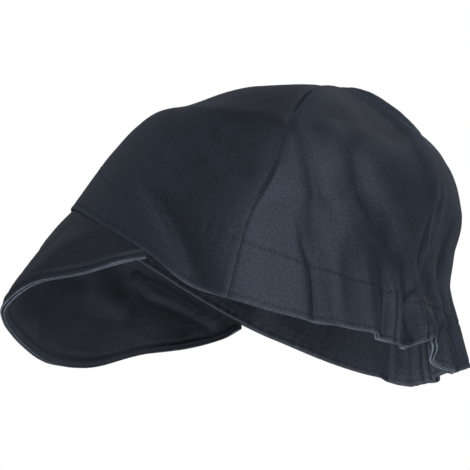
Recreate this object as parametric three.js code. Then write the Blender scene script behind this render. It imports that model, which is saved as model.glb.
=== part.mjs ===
// A soft welding cap of cotton twill, held as it sits on a head: four crown panels, a turned-in sweatband,
// a gathered elastic casing at the nape and a soft peak of two plies. Lengths are millimetres.
// The wearer looks along -Y, their left is +X and +Z is up. The origin is in the middle of the head opening.
import * as THREE from 'three';

// Driving sizes
const headHalfLength = 102.5; // middle of the opening forward to the brow
const headHalfWidth = 84; // middle of the opening out to the ear
const crownRise = 105; // middle of the opening up to the point where the panels meet
const clothThickness = 1.2;
const pieceGap = 0.3; // between neighbouring plies and panels
const hemGap = 0.55; // between the crown and the strips turned up inside it
const hemHeight = 22; // rim up to the stitching that holds the sweatband and the casing
const peakLength = 73; // root to front edge, along the middle
const peakRootAngle = 73; // degrees round from the brow to each end of the peak's root
const peakTuck = 4; // how far the peak's plies go up between crown and sweatband
const gatherDepth = 2.2; // how far the gathers of the casing stand in and out
const gatherWidth = 19; // from one gather to the next
const seamDepth = 0.9; // how far the cloth dips at a seam
const seamReach = 5; // how far from the seam the dip is felt
const crownTopShare = 0.992; // the panels end just short of the point where they meet

// How finely the pieces are divided. The casing starts at one of the columns of each rear panel.
const crownRows = 14;
const hemRows = 3;
const frontColumns = 18;
const rearLeftColumns = 24;
const rearRightColumns = 36;
const casingStartLeft = 9;
const casingStartRight = 28;
const peakColumns = 28;
const peakRows = 6;

const degrees = Math.PI / 180;

// Sections of the crown from the rim (share 0) to the point where the panels meet (share 1). front, rear and
// middle are shares of headHalfLength, heights and dip of crownRise, width of headHalfWidth. The dip is how
// far the section hangs down over the ears.
const crownSections = {
  columns: ['share', 'front', 'frontUp', 'rear', 'rearUp', 'middle', 'width', 'dip'],
  rows: [
    [0.0, -0.9, 0.47, 0.99, -0.34, -0.06, 0.97, 0.16],
    [0.14, -0.82, 0.54, 0.91, -0.02, 0.07, 1.01, 0.04],
    [0.3, -0.69, 0.69, 0.92, 0.17, 0.2, 1.03, 0.0],
    [0.47, -0.51, 0.83, 0.97, 0.39, 0.26, 1.0, 0.0],
    [0.64, -0.33, 0.88, 0.91, 0.61, 0.27, 0.88, 0.04],
    [0.8, -0.09, 0.94, 0.71, 0.81, 0.33, 0.66, 0.03],
    [0.91, 0.15, 0.96, 0.53, 0.93, 0.37, 0.38, 0.02],
    [1.0, 0.4, 1.0, 0.4, 1.0, 0.4, 0.0, 0.0],
  ],
};

// Degrees round from the brow, towards the wearer's left, of the seams by the ears and at the back. The cap
// sits a little twisted, so that the back seam leans to the left.
const crownSeams = {
  columns: ['share', 'left', 'rear', 'right'],
  rows: [
    [0.0, 99, 154, 261],
    [0.15, 99, 160, 261],
    [0.35, 99, 163, 261],
    [0.55, 99, 160, 261],
    [0.68, 99, 149, 261],
    [0.82, 99, 143, 261],
    [1.0, 99, 141, 261],
  ],
};

// How far the rim hangs below its smooth section, as shares of hemHeight. Angles run to the wearer's left.
const rimLine = {
  columns: ['angle', 'drop'],
  rows: [
    [-180, 0.07],
    [-168, -0.06],
    [-150, -0.16],
    [-140, 0.04],
    [-130, 0.17],
    [-124, 0.19],
    [-119, 0.08],
    [-112, 0.05],
    [-90, -0.05],
    [-45, -0.05],
    [0, 0.0],
    [30, -0.16],
    [60, -0.18],
    [75, -0.09],
    [90, 0.18],
    [105, 0.16],
    [118, 0.11],
    [136, 0.0],
    [143, 0.09],
    [148, 0.06],
    [152, -0.1],
    [159, -0.25],
    [163, -0.02],
    [168, 0.34],
    [174, 0.2],
    [180, 0.07],
  ],
};

// Where the peak's free edge lies from its root, from the middle (share 0) to a root end (share 1), as
// shares of peakLength: out to the side, forward, and down. The bow is how far the face stands out halfway.
const peakEdge = {
  columns: ['share', 'out', 'forward', 'down', 'bow'],
  rows: [
    [0.0, 0.0, 0.3, 0.93, 0.09],
    [0.1, 0.043, 0.31, 0.92, 0.09],
    [0.25, 0.09, 0.38, 0.85, 0.08],
    [0.4, 0.14, 0.45, 0.75, 0.05],
    [0.55, 0.2, 0.48, 0.61, 0.05],
    [0.7, 0.21, 0.37, 0.41, 0.05],
    [0.82, 0.155, 0.18, 0.285, 0.04],
    [0.92, 0.11, 0.05, 0.145, 0.015],
    [1.0, 0.0, 0.0, 0.035, 0.0],
  ],
};

// Folds of the crown from one point to another. A positive depth is a valley and a negative one a ridge, in
// shares of clothThickness; width is a share of headHalfWidth.
const crownFolds = {
  columns: ['fromAngle', 'fromShare', 'toAngle', 'toShare', 'width', 'depth'],
  rows: [
    [90, 0.0, 62, 0.22, 0.13, 2.0],
    [123, 0.0, 110, 0.4, 0.06, 2.0],
    [99, 0.4, 100, 0.95, 0.05, 1.6],
    [150, 0.04, 140, 0.34, 0.07, 1.4],
    [134, 0.64, 124, 0.95, 0.13, 2.2],
    [160, 0.46, 141, 0.97, 0.07, -1.8],
    [176, 0.1, 172, 0.5, 0.07, 1.6],
    [147, 0.0, 160, 0.13, 0.045, 1.8],
    [163.5, -0.04, 168, 0.08, 0.045, 2.4],
    [-123, 0.0, -112, 0.36, 0.06, 1.8],
    [-150, 0.06, -156, 0.42, 0.08, 1.6],
    [-88, 0.0, -64, 0.2, 0.13, 1.6],
  ],
};

// Reads a column of a table at a place between its rows, on a smooth curve through them.
function readTable(table, column, at) {
  const col = table.columns.indexOf(column);
  const rows = table.rows;
  let k = 0;
  while (k < rows.length - 2 && at > rows[k + 1][0]) k += 1;
  const slope = (i) => {
    const low = rows[Math.max(0, i - 1)];
    const high = rows[Math.min(rows.length - 1, i + 1)];
    return (high[col] - low[col]) / (high[0] - low[0]);
  };
  const span = rows[k + 1][0] - rows[k][0];
  const t = (at - rows[k][0]) / span;
  if (t <= 0) return rows[k][col] + slope(k) * span * t;
  const t2 = t * t;
  const t3 = t2 * t;
  return (2 * t3 - 3 * t2 + 1) * rows[k][col] + (t3 - 2 * t2 + t) * span * slope(k)
    + (3 * t2 - 2 * t3) * rows[k + 1][col] + (t3 - t2) * span * slope(k + 1);
}

const smoothStep = (x) => {
  const t = Math.min(1, Math.max(0, x));
  return t * t * (3 - 2 * t);
};

// An angle brought into -180..180 degrees.
const wrap = (angle) => ((((angle + 180) % 360) + 360) % 360) - 180;

// The smooth crown, before seams, folds and gathers: an oval section for each share of the way up.
function smoothCrown(angle, share) {
  const read = (column) => readTable(crownSections, column, share);
  const front = new THREE.Vector3(0, read('front') * headHalfLength, read('frontUp') * crownRise);
  const rear = new THREE.Vector3(0, read('rear') * headHalfLength, read('rearUp') * crownRise);
  const middleY = read('middle') * headHalfLength;
  const along = (middleY - front.y) / Math.max(rear.y - front.y, 1e-6);
  const middle = front.clone().lerp(rear, share >= 1 ? 0 : along);
  const c = Math.cos(angle * degrees);
  const s = Math.sin(angle * degrees);
  const point = middle.clone().lerp(c >= 0 ? front : rear, Math.abs(c));
  point.x = s * read('width') * headHalfWidth;
  point.z -= s * s * read('dip') * crownRise;
  return point;
}

// Share of the crown's height that one millimetre takes near the rim at that angle.
function sharePerMillimetre(angle) {
  const step = 0.05;
  return step / smoothCrown(angle, step).distanceTo(smoothCrown(angle, 0));
}

const hemShare = (angle) => hemHeight * sharePerMillimetre(angle);

// Turns count the panels round the crown: 0 and 4 are the brow, 1 the left seam, 2 the rear seam, 3 the
// right seam. A share of a turn is that share of the way from one seam to the next.
function turnAngle(turn, share) {
  const seams = [0, ...['left', 'rear', 'right'].map((name) => readTable(crownSeams, name, share)), 360];
  const panel = Math.min(3, Math.max(0, Math.floor(turn)));
  return seams[panel] + (seams[panel + 1] - seams[panel]) * (turn - panel);
}

// Gathers of the casing: full over the hem and gone a little above its stitching.
function gather(angle, share) {
  const start = turnAngle(1 + casingStartLeft / rearLeftColumns, 0);
  const end = turnAngle(2 + casingStartRight / rearRightColumns, 0);
  const round = (angle + 360) % 360;
  const nape = smoothStep((round - start) / 10) * smoothStep((end - round) / 10);
  if (nape === 0) return 0;
  const above = smoothStep((share / hemShare(angle) - 0.9) / 1.6);
  const turn = ((round - start) * degrees * headHalfLength) / gatherWidth;
  return gatherDepth * nape * (1 - above) * Math.cos(2 * Math.PI * turn) * (0.8 + 0.2 * Math.cos(turn * 2.3));
}

// How far the cloth lies inside the smooth crown: seams, folds and gathers together.
function inset(angle, share) {
  const radius = readTable(crownSections, 'width', share) * headHalfWidth;
  const gap = (centre) => wrap(angle - centre) * degrees * radius;
  let depth = gather(angle, share);
  for (const turn of [0, 1, 2, 3]) {
    depth += seamDepth * Math.exp(-((gap(turnAngle(turn, share)) / seamReach) ** 2));
  }
  for (const [fromAngle, fromShare, toAngle, toShare, width, foldDepth] of crownFolds.rows) {
    const t = (share - fromShare) / (toShare - fromShare);
    const fade = smoothStep((t + 0.3) / 0.3) * smoothStep((1 - t) / 0.5);
    const centre = fromAngle + (toAngle - fromAngle) * t;
    depth += foldDepth * clothThickness * fade * Math.exp(-((gap(centre) / (width * headHalfWidth)) ** 2));
  }
  return depth;
}

// The crown's outer face with its seams, folds and gathers.
function foldedCrown(angle, share) {
  const low = Math.min(share, 0.985);
  const around = smoothCrown(angle + 0.5, low).sub(smoothCrown(angle - 0.5, low));
  const up = smoothCrown(angle, low + 0.004).sub(smoothCrown(angle, low - 0.004));
  const outward = around.cross(up).normalize();
  return smoothCrown(angle, share).addScaledVector(outward, -inset(angle, share));
}

// A point so far inside the crown's outer face, square to it.
function crownPoint(angle, share, inside = 0) {
  const low = Math.min(share, 0.98);
  const around = foldedCrown(angle + 0.6, low).sub(foldedCrown(angle - 0.6, low));
  const up = foldedCrown(angle, low + 0.006).sub(foldedCrown(angle, low - 0.006));
  const outward = around.cross(up).normalize();
  return foldedCrown(angle, share).addScaledVector(outward, -inside);
}

const rimShare = (angle) => -readTable(rimLine, 'drop', wrap(angle)) * hemShare(angle);

// A closed wall between two equal grids of points, the outermost one first.
function wallBetween(outer, inner) {
  const rows = outer.length;
  const cols = outer[0].length;
  const positions = [];
  for (const face of [outer, inner]) {
    for (const row of face) {
      for (const p of row) positions.push(p.x, p.y, p.z);
    }
  }
  const at = (side, i, j) => side * rows * cols + i * cols + j;
  const faces = [];
  const quad = (a, b, c, d) => faces.push(a, b, c, a, c, d);
  for (let i = 0; i < rows - 1; i += 1) {
    for (let j = 0; j < cols - 1; j += 1) {
      quad(at(0, i, j), at(0, i, j + 1), at(0, i + 1, j + 1), at(0, i + 1, j));
      quad(at(1, i, j), at(1, i + 1, j), at(1, i + 1, j + 1), at(1, i, j + 1));
    }
  }
  for (let j = 0; j < cols - 1; j += 1) {
    quad(at(0, 0, j), at(1, 0, j), at(1, 0, j + 1), at(0, 0, j + 1));
    quad(at(0, rows - 1, j), at(0, rows - 1, j + 1), at(1, rows - 1, j + 1), at(1, rows - 1, j));
  }
  for (let i = 0; i < rows - 1; i += 1) {
    quad(at(0, i, 0), at(0, i + 1, 0), at(1, i + 1, 0), at(1, i, 0));
    quad(at(0, i, cols - 1), at(1, i, cols - 1), at(1, i + 1, cols - 1), at(0, i + 1, cols - 1));
  }
  const geometry = new THREE.BufferGeometry();
  geometry.setAttribute('position', new THREE.Float32BufferAttribute(positions, 3));
  geometry.setIndex(faces);
  geometry.computeVertexNormals();
  return geometry;
}

// Shares of the way up: the rows of the hem, then those of the crown above it.
function crownShares(angle) {
  const rim = rimShare(angle);
  const hem = hemShare(angle);
  const low = Array.from({ length: hemRows }, (_, k) => rim + ((hem - rim) * k) / hemRows);
  const high = Array.from({ length: crownRows + 1 }, (_, k) => hem + (crownTopShare - hem) * (k / crownRows));
  return [...low, ...high];
}

// A face of columns by rows between two turns, each column kept clear of the seams at its ends.
function crownFace(turns, rows, clearOfSeams, insideAt) {
  return Array.from({ length: rows }, (_, i) => turns.map((turn, j) => {
    const share = crownShares(turnAngle(turn, 0))[i];
    const angle = turnAngle(turn, share);
    const perDegree = smoothCrown(angle + 1, share).distanceTo(smoothCrown(angle - 1, share)) / 2;
    const side = 1 - (2 * j) / (turns.length - 1);
    return crownPoint(angle + (side * clearOfSeams) / perDegree, share, insideAt(angle));
  }));
}

const turnsBetween = (from, to, columns) => (
  Array.from({ length: columns + 1 }, (_, k) => from + ((to - from) * k) / columns));

// One crown panel between two seams.
function crownPanel(from, to, columns) {
  const turns = turnsBetween(from, to, columns);
  const rows = hemRows + crownRows + 1;
  const face = (inside) => crownFace(turns, rows, pieceGap / 2, () => inside);
  return wallBetween(face(0), face(clothThickness));
}

// Over the brow the peak's two plies lie between the crown and the sweatband.
const bandInside = (angle) => clothThickness + hemGap
  + 2 * (clothThickness + pieceGap) * smoothStep((peakRootAngle + 12 - Math.abs(wrap(angle))) / 9);

// A strip turned up inside the crown, from the rim to the hem's stitching.
function hemStrip(turns) {
  const face = (inside) => crownFace(turns, hemRows + 1, pieceGap / 2, (angle) => bandInside(angle) + inside);
  return wallBetween(face(0), face(clothThickness));
}

// The peak's outer face. across runs from -1 at the right root end to 1 at the left one; out is 0 at the
// rim, 1 at the free edge, and negative where the ply is tucked up inside the crown.
function peakFace(across, out) {
  const angle = across * peakRootAngle;
  const inside = clothThickness + pieceGap;
  const share = rimShare(angle) + Math.max(0, -out) * peakTuck * sharePerMillimetre(angle);
  const read = (column) => readTable(peakEdge, column, Math.abs(across)) * peakLength;
  const reach = new THREE.Vector3(Math.sign(across) * read('out'), -read('forward'), -read('down'));
  const t = Math.max(0, out);
  const bowed = new THREE.Vector3(Math.sin(angle * degrees), -Math.cos(angle * degrees), 0.5);
  return crownPoint(angle, share, inside)
    .addScaledVector(reach, t)
    .addScaledVector(bowed, 4 * t * (1 - t) * read('bow'));
}

function peakPly(inside) {
  const step = 0.02;
  const tuckRows = [0, -0.4, -1];
  const outs = [...Array.from({ length: peakRows }, (_, k) => 1 - k / peakRows), ...tuckRows];
  const place = (across, out, depth) => {
    const a = Math.max(-1 + step, Math.min(1 - step, across));
    const side = peakFace(a + step, out).sub(peakFace(a - step, out));
    const up = peakFace(a, out - 3 * step).sub(peakFace(a, Math.min(1, out + 3 * step)));
    const outward = side.cross(up).normalize();
    return peakFace(across, out).addScaledVector(outward, -depth);
  };
  const face = (depth) => outs.map((out) => Array.from({ length: peakColumns + 1 }, (_, k) => (
    place(-1 + (2 * k) / peakColumns, out, depth))));
  return wallBetween(face(inside), face(inside + clothThickness));
}

// Assembly
const cloth = (color) => new THREE.MeshStandardMaterial({ color, roughness: 0.9, metalness: 0 });
const crownCloth = cloth(0x252b33);
const bandCloth = cloth(0x20252c);
const peakCloth = cloth(0x1f2529);

const cap = new THREE.Group();
function addPiece(name, geometry, material) {
  const mesh = new THREE.Mesh(geometry, material);
  mesh.name = name;
  cap.add(mesh);
}

addPiece('crown_front_left', crownPanel(0, 1, frontColumns), crownCloth);
addPiece('crown_rear_left', crownPanel(1, 2, rearLeftColumns), crownCloth);
addPiece('crown_rear_right', crownPanel(2, 3, rearRightColumns), crownCloth);
addPiece('crown_front_right', crownPanel(3, 4, frontColumns), crownCloth);

const rearLeft = turnsBetween(1, 2, rearLeftColumns);
const rearRight = turnsBetween(2, 3, rearRightColumns);
addPiece('sweatband', hemStrip([
  ...rearRight.slice(casingStartRight, -1),
  ...turnsBetween(3, 4, frontColumns).slice(0, -1),
  ...turnsBetween(0, 1, frontColumns).slice(0, -1),
  ...rearLeft.slice(0, casingStartLeft + 1),
]), bandCloth);
addPiece('elastic_casing', hemStrip([
  ...rearLeft.slice(casingStartLeft, -1),
  ...rearRight.slice(0, casingStartRight + 1),
]), bandCloth);

addPiece('peak_upper_ply', peakPly(0), peakCloth);
addPiece('peak_lower_ply', peakPly(clothThickness + pieceGap), peakCloth);

export default cap;
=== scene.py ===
"""A soft welding cap of dark cotton twill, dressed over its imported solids.

The shape functions work in millimetres in the cap's own frame: the wearer looks along -Y, their left is +X, +Z is
up and the origin is in the middle of the head opening. Meshes are put down in metres in the same frame.
"""
import math

import bpy
import numpy as np
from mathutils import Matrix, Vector


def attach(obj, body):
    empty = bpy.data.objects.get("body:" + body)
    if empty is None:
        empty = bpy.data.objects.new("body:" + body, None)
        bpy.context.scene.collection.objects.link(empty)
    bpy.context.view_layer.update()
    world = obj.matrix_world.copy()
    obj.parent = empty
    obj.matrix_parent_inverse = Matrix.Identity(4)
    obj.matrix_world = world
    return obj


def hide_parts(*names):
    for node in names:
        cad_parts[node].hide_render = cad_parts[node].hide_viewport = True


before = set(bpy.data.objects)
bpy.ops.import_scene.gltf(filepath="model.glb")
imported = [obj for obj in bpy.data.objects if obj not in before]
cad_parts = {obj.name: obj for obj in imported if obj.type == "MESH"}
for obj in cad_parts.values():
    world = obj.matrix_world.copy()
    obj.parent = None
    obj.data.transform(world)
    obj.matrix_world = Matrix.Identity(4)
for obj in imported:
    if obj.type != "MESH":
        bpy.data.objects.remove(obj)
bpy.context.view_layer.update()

MM = 0.001  # metres
DEGREE = math.radians(1)

# Sizes of the cap in millimetres, as in the solids, but for the shallower and interlocked seams
HEAD_HALF_LENGTH = 102.5
HEAD_HALF_WIDTH = 84.0
CROWN_RISE = 105.0
CLOTH = 1.2
GAP = 0.3
HEM_GAP = 0.55
HEM_HEIGHT = 22.0
PEAK_LENGTH = 73.0
PEAK_ROOT_ANGLE = 73.0
PEAK_TUCK = 4.0
GATHER_DEPTH = 2.2
GATHER_WIDTH = 19.0
SEAM_DEPTH = 0.5
SEAM_REACH = 5.0
SEAM_TONGUE = 0.35  # how far a panel's tongue reaches into its neighbour
SEAM_TONGUE_SHARE = 0.25  # the tongue's edge over the cloth's thickness
SEAM_TURNS = (0, 1, 2, 3)
SEAM_GROOVE_DEPTH = 0.5
CROWN_TOP_SHARE = 0.9995
RIM_STITCH_HEIGHT = 2.2
CASING_START_LEFT = 1 + 9 / 24
CASING_START_RIGHT = 2 + 28 / 36

# How finely the cloth is drawn: points across and up each piece
CROWN_UP = 160
FRONT_ACROSS = 190
REAR_LEFT_ACROSS = 190
REAR_RIGHT_ACROSS = 230
HEM_UP = 24
SWEATBAND_ACROSS = 560
CASING_ACROSS = 420
PEAK_ACROSS = 330
PEAK_OUT = 70
EDGE_STEPS = 5

# Sections of the crown from the rim (share 0) to the point where the panels meet (share 1)
CROWN_SECTIONS = {
    "columns": ("share", "front", "front_up", "rear", "rear_up", "middle", "width", "dip"),
    "rows": (
        (0.0, -0.9, 0.47, 0.99, -0.34, -0.06, 0.97, 0.16),
        (0.14, -0.82, 0.54, 0.91, -0.02, 0.07, 1.01, 0.04),
        (0.3, -0.69, 0.69, 0.92, 0.17, 0.2, 1.03, 0.0),
        (0.47, -0.51, 0.83, 0.97, 0.39, 0.26, 1.0, 0.0),
        (0.64, -0.33, 0.88, 0.91, 0.61, 0.27, 0.88, 0.04),
        (0.8, -0.09, 0.94, 0.71, 0.81, 0.33, 0.66, 0.03),
        (0.91, 0.15, 0.96, 0.53, 0.93, 0.37, 0.38, 0.02),
        (1.0, 0.4, 1.0, 0.4, 1.0, 0.4, 0.0, 0.0),
    ),
}

# Degrees round from the brow, towards the wearer's left, of the three seams that are not over the brow
CROWN_SEAMS = {
    "columns": ("share", "left", "rear", "right"),
    "rows": (
        (0.0, 99, 154, 261),
        (0.15, 99, 160, 261),
        (0.35, 99, 163, 261),
        (0.55, 99, 160, 261),
        (0.68, 99, 149, 261),
        (0.82, 99, 143, 261),
        (1.0, 99, 141, 261),
    ),
}

# How far the rim hangs below its smooth section, as shares of the hem's height
RIM_LINE = {
    "columns": ("angle", "drop"),
    "rows": (
        (-180, 0.07), (-168, -0.06), (-150, -0.16), (-140, 0.04), (-130, 0.17), (-124, 0.19), (-119, 0.08),
        (-112, 0.05), (-90, -0.05), (-45, -0.05), (0, 0.0), (30, -0.16), (60, -0.18), (75, -0.09), (90, 0.18),
        (105, 0.16), (118, 0.11), (136, 0.0), (143, 0.09), (148, 0.06), (152, -0.1), (159, -0.25), (163, -0.02),
        (168, 0.34), (174, 0.2), (180, 0.07),
    ),
}

# The peak's free edge from its root, as shares of the peak's length, from the middle to a root end
PEAK_EDGE = {
    "columns": ("share", "out", "forward", "down", "bow"),
    "rows": (
        (0.0, 0.0, 0.3, 0.93, 0.09),
        (0.1, 0.043, 0.31, 0.92, 0.09),
        (0.25, 0.09, 0.38, 0.85, 0.08),
        (0.4, 0.14, 0.45, 0.75, 0.05),
        (0.55, 0.2, 0.48, 0.61, 0.05),
        (0.7, 0.21, 0.37, 0.41, 0.05),
        (0.82, 0.155, 0.18, 0.285, 0.04),
        (0.92, 0.11, 0.05, 0.145, 0.015),
        (1.0, 0.0, 0.0, 0.035, 0.0),
    ),
}

# Folds of the crown: valleys where the depth is positive, ridges where it is negative. Width is a share of the
# head's half width and depth a share of the cloth's thickness.
CROWN_FOLDS = (
    # from angle, from share, to angle, to share, width, depth
    (90, 0.0, 62, 0.22, 0.13, 2.0),
    (123, 0.0, 110, 0.4, 0.06, 2.0),
    (99, 0.4, 100, 0.95, 0.05, 0.5),
    (150, 0.04, 140, 0.34, 0.07, 1.4),
    (134, 0.64, 124, 0.95, 0.13, 1.1),
    (160, 0.46, 141, 0.97, 0.07, -1.8),
    (176, 0.1, 172, 0.5, 0.07, 1.6),
    (147, 0.0, 160, 0.13, 0.045, 1.8),
    (163.5, -0.04, 168, 0.08, 0.045, 2.4),
    (-123, 0.0, -112, 0.36, 0.06, 1.8),
    (-150, 0.06, -156, 0.42, 0.08, 1.6),
    (-88, 0.0, -64, 0.2, 0.13, 1.6),
)

# How far the attribute of painted light and shade goes either way: paler below 0 and darker above it
TONE_LIMIT = 1.4

# Painted light and shade round the crown: how much darker than its panel the cloth is painted at each angle. It is
# palest behind the left seam, a painted highlight, and darkest in front of it, painted shade, where the tone
# passes its limit so that the dark cloth is a broad strip. The rear is painted darker as well.
ROUND_PAINTED_SHADING = {
    "columns": ("angle", "tone"),
    "rows": (
        (-180, 0.3), (-99.5, 0.2), (-98.5, 0.1), (0, -0.2), (60, -0.2), (74, 0.8), (86, 1.9), (98.5, 2.2),
        (99.5, -0.1), (112, -0.2), (122, 0.8), (140, 1.1), (160, 0.8), (180, 0.3),
    ),
}

# How much darker than their twill the strips inside the hem are at each angle: darkest at the brow and palest at
# the nape
BAND_TONE = {
    "columns": ("angle", "tone"),
    "rows": (
        (-180, -1.0), (-140, -0.9), (-120, -0.6), (-100, 0.2), (-70, 1.2), (0, 1.4), (70, 1.3), (100, 0.5),
        (140, -0.6), (180, -1.0),
    ),
}

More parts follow.
